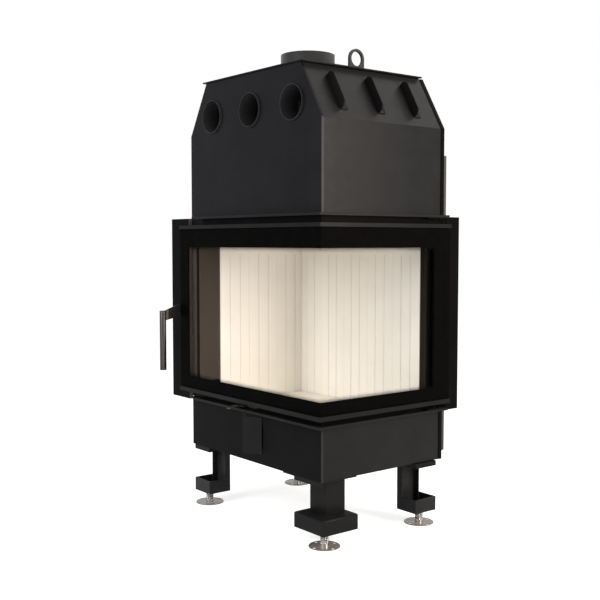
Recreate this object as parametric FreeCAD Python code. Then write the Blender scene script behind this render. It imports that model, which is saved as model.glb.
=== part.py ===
# Corner fireplace insert with an L-shaped glass door, in millimetres.
# While drawing, X = 0 is the body's right side, Y = 0 its front and Z = 0 the floor.
# At export every piece moves so that the origin is the middle of the outline, on the floor.
import FreeCAD
import Part
import math
import os

Vector = FreeCAD.Vector

# Casing
body_width = 810.0
body_depth = 586.0
sheet = 3.0
base_bottom = 231.0
base_wall_height = 192.0
door_bay_height = 711.0
hood_wall_height = 316.5
hood_slope_height = 193.5
hood_slope_inset = 113.0
front_rim = 11.0
rear_rim = 16.0
knee_relief = 4.0
lug_length = 27.0
lug_width = 40.0
lug_setback = 20.0

# Top plate, flue and lifting eyes
top_thickness = 5.0
top_side_overhang = 17.0
top_front_overhang = 6.0
top_rear_setback = 22.0
flue_radius = 102.0
flue_wall = 2.0
flue_height = 89.0
flue_setback = 267.0
flue_hole_gap = 0.8
eye_end_gap = 35.0
eye_width = 69.0
eye_hole_height = 36.5
eye_hole_radius = 25.5
eye_thickness = 10.0

# Hot-air spigots
spigot_radius = 62.0
spigot_wall = 2.0
spigot_side_gap = 157.0
spigot_height = 62.0
spigot_projection = 8.0
spigot_inside = 72.0
spigot_hole_gap = 0.5

# Angle brackets on the hood's slopes
bracket_count = 3
bracket_first = 99.0
bracket_rear_gap = 138.0
bracket_start = 39.0
bracket_length = 144.0
bracket_stand = 35.0
bracket_foot = 35.0
bracket_thickness = 4.0
bracket_chamfer = 14.0

# Rear heat shield
shield_standoff = 13.0
shield_thickness = 2.0
shield_bottom = 262.0
shield_height = 1096.5
shield_edge = 3.5
shield_return = 11.0
shield_boss_radius = 12.0
shield_boss_inset = 90.0

# Turned cover in front of the air inlet of the base
cover_place = 346.0
cover_width = 67.0
cover_turn = 40.0
cover_rise = 38.0
cover_height = 136.5
cover_flange = 9.0
cover_tab_width = 10.5
cover_tab_height = 21.0
inlet_gap = 14.0
inlet_width = 80.0
inlet_height = 100.0
side_slot_width = 6.0
side_slot_height = 88.0

# Ledges above and below the door
ledge_front = 27.0
ledge_right = 24.0
ledge_lip = 9.0
ledge_left_inset = 42.0
ledge_rear_reach = 6.0
ledge_side_gap = 0.3
lower_ledge_depth = 28.0
smoke_front = 60.0
smoke_right = 60.0
smoke_seat = 3.0

# Wall flanges
flange_front = 13.0
left_flange_width = 132.0
right_flange_width = 83.0
flange_drop = 10.0
flange_short = 3.0

# Door
door_face = 28.0
trim_lip = 2.0
glass_thickness = 4.0
rail_depth = 8.0
trim_web = 4.0
door_left_reach = 52.6
door_rear_reach = 12.0
door_bottom_gap = 19.0
door_top_gap = 30.0
top_trim_height = 14.0
bottom_trim_height = 16.0
stile_width = 47.0
rail_tail = 9.0

# Hinge
hinge_tail = 17.0
pin_radius = 3.0
pin_clearance = 0.05
pin_end_gap = 1.0
hinge_reach = 98.0
hinge_lower_height = 6.0
hinge_upper_height = 11.0
hinge_sill_gap = 0.5
screw_head_radius = 4.5
screw_head_height = 3.0
screw_shank_radius = 2.4
screw_shank_gap = 0.1
screw_positions = (23.0, 52.0)

# Seal and the channel that holds it
seal_width = 13.0
seal_glass_gap = 0.3
channel_wall = 3.0
channel_depth = 14.0
channel_gap = 0.5
seal_left_offset = 69.5
seal_rear_offset = 46.0
seal_top_drop = 67.0
seal_bottom_rise = 52.0
header_drop = 87.0
sill_rise = 66.0

# Firebox
jamb_inset = 80.0
jamb_depth = 81.0
jamb_front = 15.0
fire_back_space = 92.0
lining_thickness = 30.0
lining_right = 31.0
lining_tuck = 6.0
lining_joint = 0.6
lining_top_drop = 62.0
rear_board_count = 5
left_board_count = 3
groove_offset = 24.5
groove_width = 7.0
groove_depth = 2.0
groove_top_drop = 87.0
fire_floor_drop = 46.0
hearth_thickness = 24.0
hearth_front = 30.0
chamber_height = 280.0
baffle_thickness = 25.0
baffle_front = 150.0
baffle_right = 110.0

# Air control
damper_gap = 0.3
damper_height = 36.0
damper_length = 600.0
damper_left = 20.0
slot_count = 8
slot_length = 30.0
slot_height = 10.0
slot_pitch = 66.0
slot_rise = 20.0
lever_travel = 60.0
lever_root = 429.0
lever_width = 23.0
lever_thickness = 4.0
lever_rise = 5.0
lever_slot_gap = 1.0
lever_reach = 79.0
lever_flat = 14.0
lever_crest = 38.0
lever_arch = 6.0
lever_corner = 7.0

# Handle
pivot_radius = 3.0
pivot_length = 20.0
pivot_height = 323.0
arm_thickness = 6.0
arm_gap = 0.5
arm_rear_gap = 1.0
arm_half_height = 24.5
arm_drop = 24.0
arm_end_height = 40.0
grip_radius = 13.0
grip_length = 237.0
grip_reach = 85.0
grip_slot_depth = 5.0
grip_slot_gap = 0.05
finger_length = 11.0
finger_low = 7.0
finger_high = 17.5
keeper_gap = 0.5
keeper_depth = 6.0
keeper_height = 6.0
keeper_overlap = 4.0
catch_slot_left = 3.0
catch_slot_right = 17.0
catch_slot_low = 8.0

# Legs
leg_sheet = 4.0
leg_width = 106.0
leg_depth = 98.0
leg_clearance = 45.0
leg_box_height = 51.0
leg_flange = 27.0
leg_channel_inset = 16.0
leg_cap_height = 18.0
leg_edge = 14.0
leg_rear_gap = 90.0
corner_width = 160.0
corner_depth = 158.0
corner_height = 56.0
corner_edge = 8.0
corner_reach = 5.0
corner_post_width = 87.0
corner_post_depth = 87.0
corner_post_x = 49.0
corner_post_y = 62.0

# Levelling feet
disc_radius = 55.0
disc_thickness = 3.0
disc_edge = 1.0
disc_hole_count = 4
disc_hole_radius = 7.0
disc_hole_circle = 45.0
spindle_radius = 14.5
spindle_top = 71.0
spindle_clearance = 0.05
foot_setback = 35.0
corner_foot = 35.0

# Heights and planes that follow from the sizes above
left = -body_width
middle_x = left / 2
sill_z = base_bottom + base_wall_height + sheet
lintel_z = sill_z + door_bay_height
hood_z = lintel_z + sheet
knee_z = hood_z + hood_wall_height
hood_top_z = knee_z + hood_slope_height
top_z = hood_top_z + top_thickness
rear_inner = body_depth - sheet
plate_edge = hood_slope_inset - top_side_overhang
eye_x = plate_edge + eye_end_gap
spigot_spacing = body_width / 2 - spigot_side_gap
bracket_pitch = (body_depth - bracket_first - bracket_rear_gap) / (bracket_count - 1)
slope_length = math.hypot(hood_slope_inset, hood_slope_height)
slope_cos = hood_slope_height / slope_length
slope_sin = hood_slope_inset / slope_length
slope_half_tan = (1 - slope_cos) / slope_sin

door_left = left - door_left_reach
door_rear = body_depth + door_rear_reach
door_bottom = sill_z + door_bottom_gap
door_top = lintel_z - door_top_gap
glass_outer = door_face - trim_lip
glass_inner = glass_outer - glass_thickness
rail_inner = glass_inner - rail_depth
hinge_x = (glass_inner + rail_inner) / 2
hinge_y = door_rear - hinge_tail
pivot_y = -hinge_x
pivot_z = door_bottom + pivot_height

flange_left = left - left_flange_width
flange_rear = body_depth + right_flange_width
flange_bottom = sill_z - flange_drop - sheet
flange_top = lintel_z - flange_short

lining_left_face = left + jamb_inset
fire_depth = body_depth - fire_back_space
shell_left = lining_left_face - lining_thickness - sheet
shell_rear = fire_depth + lining_thickness + sheet
lining_top = lintel_z - lining_top_drop
fire_floor_z = sill_z - fire_floor_drop
chamber_top = hood_z + chamber_height
rear_board_width = (lining_tuck - lining_left_face - lining_right) / rear_board_count

seal_depth = glass_inner - seal_glass_gap
seal_left = left + seal_left_offset
seal_rear = body_depth - seal_rear_offset
seal_top = lintel_z - seal_top_drop
seal_bottom = sill_z + seal_bottom_rise
channel_near = seal_width / 2 + channel_gap
channel_far = channel_near + channel_wall

lever_x = -lever_root - lever_width
lever_z = sill_z + lever_rise
arm_right = door_left - arm_gap
arm_left = arm_right - arm_thickness
grip_y = pivot_y - grip_reach
foot_bottom = leg_clearance

# The outline's middle becomes the origin
outline_front = grip_y - grip_radius
origin_x = (flange_left + door_face) / 2
origin_y = (outline_front + flange_rear) / 2


def box(x0, x1, y0, y1, z0, z1):
    return Part.makeBox(x1 - x0, y1 - y0, z1 - z0, Vector(x0, y0, z0))


def extrude_y(points, y0, y1):
    wire = Part.makePolygon([Vector(x, y0, z) for x, z in points + points[:1]])
    return Part.Face(wire).extrude(Vector(0, y1 - y0, 0))


def extrude_x(points, x0, x1):
    wire = Part.makePolygon([Vector(x0, y, z) for y, z in points + points[:1]])
    return Part.Face(wire).extrude(Vector(x1 - x0, 0, 0))


def extrude_z(points, z0, z1):
    wire = Part.makePolygon([Vector(x, y, z0) for x, y in points + points[:1]])
    return Part.Face(wire).extrude(Vector(0, 0, z1 - z0))


def rod(radius, start, end):
    path = end - start
    return Part.makeCylinder(radius, path.Length, start, path)


def fuse(shapes):
    return shapes[0].multiFuse(shapes[1:]).removeSplitter()


def mirrored(points):
    return [(left - x, z) for x, z in points]


# Hood outline, offset inwards
def hood_half(inset, z_low):
    knee = knee_z - inset * slope_half_tan
    top_x = -hood_slope_inset - inset / slope_cos
    return [(-inset, z_low), (-inset, knee), (top_x, hood_top_z)]


def hood_outline(inset, z_low):
    half = hood_half(inset, z_low)
    return half + mirrored(half)[::-1]


def side_outline(z_low):
    return hood_half(sheet, z_low) + hood_half(2 * sheet, z_low)[::-1]


# Casing panels
def rear_panel():
    plate = extrude_y(hood_outline(0, base_bottom), rear_inner, body_depth)
    rim_front = body_depth - rear_rim
    rim = extrude_y(hood_outline(0, base_bottom), rim_front, rear_inner)
    rim = rim.cut(extrude_y(hood_outline(sheet, base_bottom), rim_front, rear_inner))
    bay = box(-sheet, 0, rim_front, rear_inner, sill_z - sheet, hood_z)
    return fuse([plate, rim.cut(bay)])


def left_panel():
    return extrude_y(mirrored(side_outline(base_bottom + sheet)), sheet, rear_inner)


def hood_right_panel():
    return extrude_y(side_outline(hood_z), sheet, rear_inner)


def spigot_x(index):
    return middle_x + (index - 1) * spigot_spacing


def spigot_axis(index, y):
    return Vector(spigot_x(index), y, knee_z + spigot_height)


def hood_front_panel():
    plate = extrude_y(hood_outline(0, hood_z), 0, sheet)
    for index in range(3):
        hole_radius = spigot_radius + spigot_hole_gap
        plate = plate.cut(rod(hole_radius, spigot_axis(index, 0), spigot_axis(index, sheet)))
    rim = extrude_y(hood_outline(0, hood_z), sheet, front_rim)
    rim = rim.cut(extrude_y(hood_outline(sheet, hood_z), sheet, front_rim))
    relief = box(left, 0, sheet, front_rim, knee_z - knee_relief, knee_z + knee_relief)
    return fuse([plate, rim.cut(relief)])


def spigot(index):
    start = spigot_axis(index, -spigot_projection)
    end = spigot_axis(index, spigot_inside)
    return rod(spigot_radius, start, end).cut(rod(spigot_radius - spigot_wall, start, end))


def flue_tube(radius, z0, z1):
    return rod(radius, Vector(middle_x, flue_setback, z0), Vector(middle_x, flue_setback, z1))


def top_plate():
    rear = body_depth - top_rear_setback
    plate = box(left + plate_edge, -plate_edge, -top_front_overhang, rear, hood_top_z, top_z)
    return plate.cut(flue_tube(flue_radius + flue_hole_gap, hood_top_z, top_z))


def flue_collar():
    rim_z = top_z + flue_height
    outer = flue_tube(flue_radius, chamber_top, rim_z)
    return outer.cut(flue_tube(flue_radius - flue_wall, chamber_top, rim_z))


def lifting_eye(x):
    x0 = x - eye_thickness / 2
    x1 = x + eye_thickness / 2
    half = eye_width / 2
    eye_z = top_z + eye_hole_height
    start = Vector(x0, flue_setback, eye_z)
    end = Vector(x1, flue_setback, eye_z)
    stem = box(x0, x1, flue_setback - half, flue_setback + half, top_z, eye_z)
    sunk = box(x0, x1, flue_setback - half, flue_setback + half, hood_top_z, top_z)
    plate = fuse([stem, rod(half, start, end).cut(sunk)])
    return plate.cut(rod(eye_hole_radius, start, end))


# A point on the right slope, from the knee along the slope and out from its sheet
def slope_point(along, out):
    rise = out - sheet
    return (rise * slope_cos - along * slope_sin, knee_z + along * slope_cos + rise * slope_sin)


def slope_bracket(index, mirror):
    y0 = bracket_first + index * bracket_pitch
    end = bracket_start + bracket_length
    shoulder = bracket_stand - bracket_chamfer
    stand = [
        slope_point(bracket_start, 0),
        slope_point(bracket_start, shoulder),
        slope_point(bracket_start + bracket_chamfer, bracket_stand),
        slope_point(end - bracket_chamfer, bracket_stand),
        slope_point(end, shoulder),
        slope_point(end, 0),
    ]
    foot = [
        slope_point(bracket_start, 0),
        slope_point(bracket_start, bracket_thickness),
        slope_point(end, bracket_thickness),
        slope_point(end, 0),
    ]
    if mirror:
        stand = mirrored(stand)
        foot = mirrored(foot)
    standing_leg = extrude_y(stand, y0, y0 + bracket_thickness)
    return fuse([standing_leg, extrude_y(foot, y0, y0 + bracket_foot)])


def slope_brackets(mirror):
    return Part.makeCompound([slope_bracket(index, mirror) for index in range(bracket_count)])


def rear_heat_shield():
    y0 = body_depth + shield_standoff
    x0 = left + shield_edge
    x1 = -shield_edge
    shield_top = shield_bottom + shield_height
    pieces = [box(x0, x1, y0, y0 + shield_thickness, shield_bottom, shield_top)]
    for x in (x0, x1 - shield_thickness):
        pieces.append(box(x, x + shield_thickness, y0 - shield_return, y0, shield_bottom, shield_top))
    for x in (x0 + shield_boss_inset, x1 - shield_boss_inset):
        for z in (shield_bottom + shield_boss_inset, shield_top - shield_boss_inset):
            pieces.append(rod(shield_boss_radius, Vector(x, body_depth, z), Vector(x, y0, z)))
    return fuse(pieces)


# Base box under the door
cover_fold = -cover_place
cover_bottom = base_bottom + cover_rise
cover_top = cover_bottom + cover_height
cover_middle = (cover_bottom + cover_top) / 2


# An opening in the base's front, level with the middle of the cover
def front_opening(x0, width, height):
    return box(x0, x0 + width, 0, sheet, cover_middle - height / 2, cover_middle + height / 2)


def base_front_panel():
    top = sill_z - sheet
    plate = box(left, 0, 0, sheet, base_bottom, top)
    inlet = front_opening(cover_fold - inlet_gap - inlet_width, inlet_width, inlet_height)
    side_slot = front_opening(cover_fold + cover_flange, side_slot_width, side_slot_height)
    right_rim = box(-sheet, 0, sheet, front_rim, base_bottom, top)
    left_rim = box(left, left + sheet, sheet, front_rim, base_bottom, top)
    return fuse([plate.cut(inlet).cut(side_slot), right_rim, left_rim])


def base_right_panel():
    return box(-2 * sheet, -sheet, sheet, rear_inner, base_bottom + sheet, sill_z - sheet)


def base_floor():
    x0 = left + sheet
    plate = box(x0, -sheet, sheet, rear_inner, base_bottom, base_bottom + sheet)
    lug = box(x0 - lug_length, x0, lug_setback, lug_setback + lug_width, base_bottom, base_bottom + sheet)
    return fuse([plate, lug])


def inlet_cover():
    end = -cover_width
    plate = box(end, 0, -sheet, 0, cover_bottom, cover_top)
    tab = box(end, end + cover_tab_width, -sheet, 0, cover_top, cover_top + cover_tab_height)
    turned = placed(fuse([plate, tab]), Vector(cover_fold, 0, 0), cover_turn)
    flange = box(cover_fold, cover_fold + cover_flange, -sheet, 0, cover_bottom, cover_top)
    return fuse([turned, flange])


# L-shaped ledges with turned-down lips
ledge_left = left + ledge_left_inset
ledge_rear = body_depth + ledge_rear_reach


def ledge_lips(z_top):
    z0 = z_top - ledge_lip
    z1 = z_top - sheet
    front = box(ledge_left, ledge_right, -ledge_front, sheet - ledge_front, z0, z1)
    right = box(ledge_right - sheet, ledge_right, -ledge_front, ledge_rear, z0, z1)
    return [front, right]


def hinge_screw_holes(z0, z1):
    radius = screw_shank_radius + screw_shank_gap
    x = (hinge_sill_gap + ledge_right) / 2
    rows = [hinge_y - step for step in screw_positions]
    holes = [rod(radius, Vector(x, y, z0), Vector(x, y, z1)) for y in rows]
    return Part.makeCompound(holes)


def upper_ledge():
    plate = box(ledge_left, ledge_right, -ledge_front, rear_inner, lintel_z, hood_z)
    tail = box(ledge_side_gap, ledge_right, rear_inner, ledge_rear, lintel_z, hood_z)
    smoke_left = shell_left + sheet + smoke_seat
    smoke_rear = shell_rear - sheet - smoke_seat
    opening = box(smoke_left, -smoke_right, smoke_front, smoke_rear, lintel_z, hood_z)
    return fuse([plate.cut(opening), tail] + ledge_lips(hood_z))


def lower_ledge():
    z0 = sill_z - sheet
    front = box(ledge_left, ledge_right, -ledge_front, lower_ledge_depth, z0, sill_z)
    right = box(-lower_ledge_depth, ledge_right, lower_ledge_depth, rear_inner, z0, sill_z)
    tail = box(ledge_side_gap, ledge_right, rear_inner, ledge_rear, z0, sill_z)
    return fuse([front, right, tail] + ledge_lips(sill_z))


# Wall flanges beside the door
def left_flange():
    face = -flange_front
    plate = box(flange_left, left, face, face + sheet, flange_bottom, flange_top)
    edge = box(left - sheet, left, face + sheet, sheet, flange_bottom, flange_top)
    slot_high = pivot_z + finger_high + keeper_gap + keeper_height
    slot = box(arm_left - catch_slot_left, arm_right + catch_slot_right, face, face + sheet,
               pivot_z - catch_slot_low, slot_high)
    return fuse([plate.cut(slot), edge])


def right_flange():
    return box(-sheet, 0, body_depth, flange_rear, flange_bottom, flange_top)


def latch_keeper():
    y0 = sheet - flange_front
    z0 = pivot_z + finger_high + keeper_gap
    x0 = arm_left - catch_slot_left - keeper_overlap
    x1 = arm_right + catch_slot_right + keeper_overlap
    return box(x0, x1, y0, y0 + keeper_depth, z0, z0 + keeper_height)


# Seal channel ribs along the front and right, at two heights around the seal
def channel_ribs(z):
    ribs = []
    rear_jamb_y = fire_depth + sheet
    for near, far in ((channel_near, channel_far), (-channel_far, -channel_near)):
        ribs.append(box(lining_left_face, channel_depth, -channel_depth, 0, z + near, z + far))
        ribs.append(box(0, channel_depth, 0, rear_jamb_y, z + near, z + far))
    return ribs


def bay_plate(z0, z1):
    front = box(lining_left_face, 0, 0, sheet, z0, z1)
    right = box(-sheet, 0, sheet, fire_depth + sheet, z0, z1)
    return [front, right]


def header():
    return fuse(bay_plate(lintel_z - header_drop, lintel_z) + channel_ribs(seal_top))


def slot_x(index):
    return lining_left_face + damper_left + slot_pitch * (index + 0.5)


def air_slots(y0, y1):
    slots = []
    z0 = sill_z + slot_rise
    for index in range(slot_count):
        x0 = slot_x(index)
        slots.append(box(x0, x0 + slot_length, y0, y1, z0, z0 + slot_height))
    return Part.makeCompound(slots)


def sill():
    shape = fuse(bay_plate(sill_z, sill_z + sill_rise) + channel_ribs(seal_bottom))
    lever_end = lever_x + lever_width + lever_travel
    lever_slot = box(lever_x - lever_slot_gap, lever_end + lever_slot_gap, 0, sheet,
                     lever_z - lever_slot_gap, lever_z + lever_thickness + lever_slot_gap)
    return shape.cut(lever_slot).cut(air_slots(0, sheet))


seal_inner_low = seal_bottom + channel_far
seal_inner_high = seal_top - channel_far
seal_outer_low = seal_bottom - channel_far
seal_outer_high = seal_top + channel_far


def left_jamb():
    x1 = lining_left_face
    plate = box(left, x1, 0, sheet, sill_z, lintel_z)
    cheek = box(x1 - sheet, x1, sheet, jamb_depth, sill_z, lintel_z)
    cheek_edge = box(x1 - sheet, x1, -jamb_front, 0, seal_inner_low, seal_inner_high)
    outer = box(seal_left - channel_far, seal_left - channel_near, -channel_depth, 0,
                seal_outer_low, seal_outer_high)
    return fuse([plate, cheek, cheek_edge, outer])


def rear_jamb():
    y0 = fire_depth + sheet
    plate = box(-sheet, 0, y0, rear_inner, sill_z, lintel_z)
    cheek = box(-lining_right, -sheet, y0, y0 + sheet, sill_z, lintel_z)
    inner = box(0, channel_depth, seal_rear - channel_far, seal_rear - channel_near,
                seal_inner_low, seal_inner_high)
    outer = box(0, channel_depth, seal_rear + channel_near, seal_rear + channel_far,
                seal_outer_low, seal_outer_high)
    return fuse([plate, cheek, inner, outer])


def door_seal():
    half = seal_width / 2
    z0 = seal_bottom - half
    z1 = seal_top + half
    pieces = [
        box(seal_left - half, seal_left + half, -seal_depth, 0, z0, z1),
        box(0, seal_depth, seal_rear - half, seal_rear + half, z0, z1),
    ]
    for z in (seal_bottom, seal_top):
        pieces.append(box(seal_left - half, seal_depth, -seal_depth, 0, z - half, z + half))
        pieces.append(box(0, seal_depth, 0, seal_rear + half, z - half, z + half))
    return fuse(pieces)


# Firebox
def firebox_shell():
    side = box(shell_left, shell_left + sheet, sheet, shell_rear, fire_floor_z, lintel_z)
    back = box(shell_left, -lining_right, shell_rear - sheet, shell_rear, fire_floor_z, lintel_z)
    ledge_notch = box(shell_left, shell_left + sheet, sheet, lower_ledge_depth, sill_z - sheet, sill_z)
    return fuse([side.cut(ledge_notch), back])


def firebox_floor():
    return box(shell_left, -2 * sheet, sheet, shell_rear, fire_floor_z - sheet, fire_floor_z)


def smoke_chamber():
    x1 = sheet - smoke_right
    y0 = smoke_front - sheet
    outer = box(shell_left, x1, y0, shell_rear, hood_z, chamber_top)
    inner = box(shell_left + sheet, x1 - sheet, y0 + sheet, shell_rear - sheet, hood_z, chamber_top - sheet)
    return outer.cut(inner).cut(flue_tube(flue_radius - flue_wall / 2, chamber_top - sheet, chamber_top))


def lower_baffle():
    x0 = shell_left + sheet
    y1 = shell_rear - sheet
    return box(x0, -baffle_right, baffle_front, y1, lining_top, lining_top + baffle_thickness)


groove_top = lining_top - groove_top_drop


# Grooves open to the floor and round at the top
def rear_groove(x):
    radius = groove_width / 2
    y1 = fire_depth + groove_depth
    slot = box(x - radius, x + radius, fire_depth, y1, fire_floor_z, groove_top)
    return slot.fuse(rod(radius, Vector(x, fire_depth, groove_top), Vector(x, y1, groove_top)))


def left_groove(y):
    radius = groove_width / 2
    x0 = lining_left_face - groove_depth
    slot = box(x0, lining_left_face, y - radius, y + radius, fire_floor_z, groove_top)
    return slot.fuse(rod(radius, Vector(x0, y, groove_top), Vector(lining_left_face, y, groove_top)))


def lining_rear(index):
    x0 = lining_left_face - lining_tuck + index * rear_board_width
    x1 = x0 + rear_board_width
    end = x1 if index == rear_board_count - 1 else x1 - lining_joint
    board = box(x0, end, fire_depth, fire_depth + lining_thickness, fire_floor_z, lining_top)
    middle = (x0 + x1) / 2
    return board.cut(rear_groove(middle - groove_offset)).cut(rear_groove(middle + groove_offset))


def lining_left(index):
    y0 = jamb_depth + index * rear_board_width
    y1 = y0 + rear_board_width - lining_joint
    if index == left_board_count - 1:
        y1 = fire_depth
    board = box(lining_left_face - lining_thickness, lining_left_face, y0, y1, fire_floor_z, lining_top)
    middle = y0 + rear_board_width / 2
    return board.cut(left_groove(middle - groove_offset)).cut(left_groove(middle + groove_offset))


def hearth_slabs():
    middle = (lining_left_face - lining_right) / 2
    z1 = fire_floor_z + hearth_thickness
    first = box(lining_left_face, middle - lining_joint, hearth_front, fire_depth, fire_floor_z, z1)
    second = box(middle, -lining_right, hearth_front, fire_depth, fire_floor_z, z1)
    return Part.makeCompound([first, second])


# Door
def door_glass_front():
    return box(door_left, glass_outer, -glass_outer, -glass_inner,
               door_bottom + trim_web, door_top - trim_web)


def door_glass_right():
    return box(glass_inner, glass_outer, -glass_inner, door_rear, door_bottom + trim_web, door_top - trim_web)


# An L-shaped strip in plan, between two distances out from the body
def door_strip(inner, outer, rear, z0, z1):
    points = [
        (door_left, -outer),
        (outer, -outer),
        (outer, rear),
        (inner, rear),
        (inner, -inner),
        (door_left, -inner),
    ]
    return extrude_z(points, z0, z1)


def hinge_rod(radius, z0, z1):
    return rod(radius, Vector(hinge_x, hinge_y, z0), Vector(hinge_x, hinge_y, z1))


def door_trim(z0, z1, web_z0, rail_z0, rail_z1):
    rail_end = hinge_y + rail_tail
    lip = door_strip(glass_outer, door_face, door_rear, z0, z1)
    web_outer = door_strip(glass_inner, glass_outer, door_rear, web_z0, web_z0 + trim_web)
    rail = door_strip(rail_inner, glass_inner, rail_end, rail_z0, rail_z1)
    bore = hinge_rod(pin_radius + pin_clearance, z0, z1)
    return fuse([lip, web_outer, rail]).cut(bore)


def door_top_trim():
    z0 = door_top - top_trim_height
    return door_trim(z0, door_top, door_top - trim_web, z0, door_top)


def door_bottom_trim():
    z1 = door_bottom + bottom_trim_height
    return door_trim(door_bottom, z1, door_bottom, door_bottom, z1)


def door_stile():
    z0 = door_bottom + bottom_trim_height
    z1 = door_top - top_trim_height
    bar = box(door_left, door_left + stile_width, -glass_inner, -rail_inner, z0, z1)
    start = Vector(door_left, pivot_y, pivot_z)
    end = Vector(door_left + pivot_length + pin_end_gap, pivot_y, pivot_z)
    return bar.cut(rod(pivot_radius + pin_clearance, start, end))


# Hinge brackets with their pins
def hinge_plate(z0, z1, x1):
    return box(hinge_sill_gap, x1, hinge_y - hinge_reach, ledge_rear, z0, z1)


def hinge_bracket_lower():
    z1 = sill_z + hinge_lower_height
    plate = hinge_plate(sill_z, z1, ledge_right).cut(hinge_screw_holes(sill_z, z1))
    pin = hinge_rod(pin_radius, z1, door_bottom + bottom_trim_height - pin_end_gap)
    return fuse([plate, pin])


def hinge_bracket_upper():
    z0 = lintel_z - hinge_upper_height
    plate = hinge_plate(z0, lintel_z, ledge_right - sheet).cut(hinge_screw_holes(z0, lintel_z))
    pin = hinge_rod(pin_radius, door_top - top_trim_height + pin_end_gap, z0)
    return fuse([plate, pin])


def hinge_screws():
    x = (hinge_sill_gap + ledge_right) / 2
    low = sill_z + hinge_lower_height
    high = lintel_z - hinge_upper_height
    screws = []
    for step in screw_positions:
        y = hinge_y - step
        low_head = rod(screw_head_radius, Vector(x, y, low), Vector(x, y, low + screw_head_height))
        low_shank = rod(screw_shank_radius, Vector(x, y, sill_z), Vector(x, y, low))
        high_head = rod(screw_head_radius, Vector(x, y, high - screw_head_height), Vector(x, y, high))
        high_shank = rod(screw_shank_radius, Vector(x, y, high), Vector(x, y, lintel_z))
        screws.append(fuse([low_head, low_shank]))
        screws.append(fuse([high_head, high_shank]))
    return Part.makeCompound(screws)


# Handle: arm in a vertical plane beside the door, with a pivot stub and a latch finger
def handle_arm():
    rear = -flange_front - arm_rear_gap
    root = -door_face
    end = grip_y + grip_radius - grip_slot_depth
    end_high = pivot_z + arm_half_height - arm_drop
    outline = [
        (rear + finger_length, pivot_z + finger_low),
        (rear + finger_length, pivot_z + finger_high),
        (rear, pivot_z + finger_high),
        (root, pivot_z + arm_half_height),
        (end, end_high),
        (end, end_high - arm_end_height),
        (root, pivot_z - arm_half_height),
        (rear, pivot_z - arm_half_height),
        (rear, pivot_z + finger_low),
    ]
    plate = extrude_x(outline, arm_left, arm_right)
    stub_end = Vector(door_left + pivot_length, pivot_y, pivot_z)
    return fuse([plate, rod(pivot_radius, Vector(arm_right, pivot_y, pivot_z), stub_end)])


def handle_grip():
    x = (arm_left + arm_right) / 2
    z1 = pivot_z + arm_half_height - arm_drop
    bar = rod(grip_radius, Vector(x, grip_y, z1 - grip_length), Vector(x, grip_y, z1))
    slot_front = grip_y + grip_radius - grip_slot_depth - grip_slot_gap
    slot = box(arm_left - grip_slot_gap, arm_right + grip_slot_gap, slot_front, grip_y + grip_radius,
               z1 - arm_end_height - grip_slot_gap, z1)
    return bar.cut(slot)


# Air control: slotted damper behind the sill and its tongue over the ledge
def air_damper():
    x0 = lining_left_face + damper_left
    y0 = sheet + damper_gap
    z0 = sill_z + damper_gap
    plate = box(x0, x0 + damper_length, y0, y0 + sheet, z0, z0 + damper_height)
    return plate.cut(air_slots(y0, y0 + sheet))


def air_lever():
    line = [
        (sheet + damper_gap, lever_z),
        (-lever_flat, lever_z),
        (-lever_crest, lever_z + lever_arch),
        (-lever_reach, lever_z),
    ]
    upper = [(y, z + lever_thickness) for y, z in line]
    tongue = extrude_x(line + upper[::-1], lever_x, lever_x + lever_width)
    tip = [edge for edge in tongue.Edges if edge.BoundBox.YMax < lever_corner - lever_reach]
    corners = [edge for edge in tip if edge.BoundBox.ZLength > lever_thickness / 2]
    return tongue.makeFillet(lever_corner, corners)


# Legs. The channel leg is drawn with its open side towards -Y, its box centred in X
leg_box_top = foot_bottom + leg_box_height
leg_cap_bottom = base_bottom - leg_cap_height


# Four walls and a plate at the bottom or top of them
def tray(x0, x1, y0, y1, z0, z1, plate_z):
    t = leg_sheet
    return [
        box(x0, x1, y0, y1, plate_z, plate_z + t),
        box(x0, x1, y0, y0 + t, z0, z1),
        box(x0, x1, y1 - t, y1, z0, z1),
        box(x0, x0 + t, y0, y1, z0, z1),
        box(x1 - t, x1, y0, y1, z0, z1),
    ]


def spindle_hole(x, y):
    radius = spindle_radius + spindle_clearance
    return rod(radius, Vector(x, y, foot_bottom), Vector(x, y, foot_bottom + leg_sheet))


# The channel is narrower than its box on the outer side, +X or -X by its hand
def channel_leg(hand):
    half = leg_width / 2
    t = leg_sheet
    d = leg_depth
    x0, x1 = sorted((-hand * half, hand * (half - leg_channel_inset)))
    pieces = tray(-half, half, 0, d, foot_bottom, leg_box_top, foot_bottom)
    pieces += tray(-half, half, 0, d, leg_cap_bottom, base_bottom, base_bottom - t)
    pieces.append(box(x0, x1, d - t, d, foot_bottom, base_bottom))
    pieces.append(box(x0, x0 + t, d - leg_flange, d, foot_bottom, base_bottom))
    pieces.append(box(x1 - t, x1, d - leg_flange, d, foot_bottom, base_bottom))
    return fuse(pieces).cut(spindle_hole(0, foot_setback))


leg_left_x = left + leg_edge + leg_width / 2
leg_right_x = leg_edge / 2
leg_rear_y = body_depth - leg_rear_gap
legs = {
    "front_left": (Vector(leg_left_x, 0, 0), 0, -1),
    "rear_left": (Vector(left + leg_edge, leg_rear_y, 0), -90, -1),
    "rear_right": (Vector(leg_right_x, leg_rear_y, 0), 90, 1),
}


def placed(shape, position, turn):
    shape.rotate(Vector(0, 0, 0), Vector(0, 0, 1), turn)
    shape.translate(position)
    return shape


# A block whose top edges are rounded
def round_topped(x0, x1, y0, y1, z0, z1, radius):
    block = box(x0, x1, y0, y1, z0, z1)
    return block.makeFillet(radius, [edge for edge in block.Edges if edge.BoundBox.ZMin > z1 - radius])


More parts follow.
